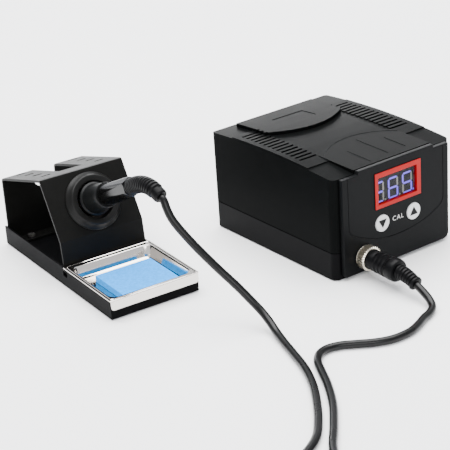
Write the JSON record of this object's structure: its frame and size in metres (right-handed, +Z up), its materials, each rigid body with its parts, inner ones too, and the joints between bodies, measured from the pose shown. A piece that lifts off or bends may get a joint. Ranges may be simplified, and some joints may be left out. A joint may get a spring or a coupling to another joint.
{
  "type": "soldering iron station",
  "caption": "Temperature-controlled soldering station: mains power unit with a digital panel, and a sheet-steel stand holding the iron over a sponge tray.",
  "frame": {"origin": "on the bench, at the centre of the box around the power unit, the stand and the iron", "axes": "+X to the right along the front panel, +Y from the front panel to the rear, +Z up"},
  "size_m": [0.4032, 0.5506, 0.1121],
  "materials": {
    "black_abs": "fine moulded texture, satin",
    "charcoal_abs": "fine moulded texture, satin",
    "panel_abs": "fine moulded texture",
    "red_plastic": "smooth",
    "tinted_window": "tinted acrylic",
    "display_body": "smooth",
    "circuit_board": "green solder mask",
    "white_plastic": "smooth",
    "switch_plastic": "smooth nylon",
    "nickel": "nickel plated",
    "rocker_plastic": "smooth",
    "laminated_steel": "varnished laminations",
    "winding": "yellow tape over copper",
    "zinc_steel": "zinc plated",
    "capacitor_sleeve": "shrink sleeve",
    "soft_black": "satin",
    "cord_rubber": "semi-gloss",
    "base_paint": "semi-gloss powder coat",
    "holder_paint": "satin powder coat",
    "collar_plastic": "satin",
    "guide_phenolic": "phenolic laminate",
    "polished_tray": "bright chrome plated sheet",
    "sponge": "open-cell cellulose",
    "sleeve_plastic": "satin",
    "handle_plastic": "polished",
    "stainless": "brushed",
    "ceramic": "unglazed",
    "tip_plating": "iron plated, tinned end",
    "foot_rubber": "matt"
  },
  "bodies": {
    "station": {"lower_housing": "black_abs", "upper_cover": "charcoal_abs", "case_screw_1": "zinc_steel", "case_screw_2": "zinc_steel", "case_screw_3": "zinc_steel", "case_screw_4": "zinc_steel", "case_foot_1": "foot_rubber", "case_foot_2": "foot_rubber", "case_foot_3": "foot_rubber", "case_foot_4": "foot_rubber", "front_panel": "panel_abs", "display_frame": "red_plastic", "display_window": "tinted_window", "display_module": "display_body", "display_board": "circuit_board", "tact_switch_down": "switch_plastic", "tact_switch_up": "switch_plastic", "iron_socket": "nickel", "socket_nut": "nickel", "rear_panel": "black_abs", "mains_inlet": "switch_plastic", "switch_frame": "switch_plastic", "transformer_core": "laminated_steel", "transformer_winding": "winding", "transformer_bracket": "zinc_steel", "control_board": "circuit_board", "smoothing_capacitor": "capacitor_sleeve", "plug_body": "soft_black", "plug_relief": "soft_black", "stand_base": "base_paint", "holder_bracket": "holder_paint", "holder_collar": "collar_plastic", "collar_ring": "zinc_steel", "iron_guide": "guide_phenolic", "holder_screw_1": "zinc_steel", "holder_screw_2": "zinc_steel", "holder_screw_3": "zinc_steel", "holder_screw_4": "zinc_steel", "stand_foot_1": "foot_rubber", "stand_foot_2": "foot_rubber", "stand_foot_3": "foot_rubber", "stand_foot_4": "foot_rubber", "cord_iron_side": "cord_rubber", "cord_plug_side": "cord_rubber", "cord_coil": "cord_rubber"},
    "iron": {"iron_sleeve": "sleeve_plastic", "iron_handle": "handle_plastic", "barrel_nut": "nickel", "barrel_tube": "stainless", "heater_element": "ceramic", "soldering_tip": "tip_plating", "iron_boot": "soft_black"},
    "plug_ring": {"coupling_ring": "nickel"},
    "down_button": {"button_down": "white_plastic"},
    "up_button": {"button_up": "white_plastic"},
    "rocker": {"power_rocker": "rocker_plastic"},
    "fuse_holder": {"fuse_drawer": "switch_plastic"},
    "tray": {"sponge_tray": "polished_tray"},
    "wiping_sponge": {"sponge": "sponge"}
  },
  "joints": [
    {"name": "iron_slide", "type": "slide", "parent": "station", "child": "iron", "axis": [-0.0669, -0.8963, 0.4384], "range_m": [0, 0.11], "deforming": ["cord_iron_side"]},
    {"name": "plug_ring_turn", "type": "hinge", "parent": "station", "child": "plug_ring", "pos_m": [0.04894, -0.13723, 0.0168], "axis": [0, 1, 0], "continuous": true},
    {"name": "down_button_press", "type": "slide", "parent": "station", "child": "down_button", "axis": [0, 1, 0], "range_m": [0, 0.0006], "stiffness_N_per_m": 1200},
    {"name": "up_button_press", "type": "slide", "parent": "station", "child": "up_button", "axis": [0, 1, 0], "range_m": [0, 0.0006], "stiffness_N_per_m": 1200},
    {"name": "power_rocker_tilt", "type": "hinge", "parent": "station", "child": "rocker", "pos_m": [0.11594, 0.02627, 0.042], "axis": [1, 0, 0], "range_deg": [0, 16]},
    {"name": "fuse_drawer_slide", "type": "slide", "parent": "station", "child": "fuse_holder", "axis": [0, 1, 0], "range_m": [0, 0.014]},
    {"name": "tray_lift", "type": "slide", "parent": "station", "child": "tray", "axis": [0, 0, 1], "range_m": [0, 0.022]},
    {"name": "sponge_lift", "type": "slide", "parent": "tray", "child": "wiping_sponge", "axis": [0, 0, 1], "range_m": [0, 0.015]}
  ]
}
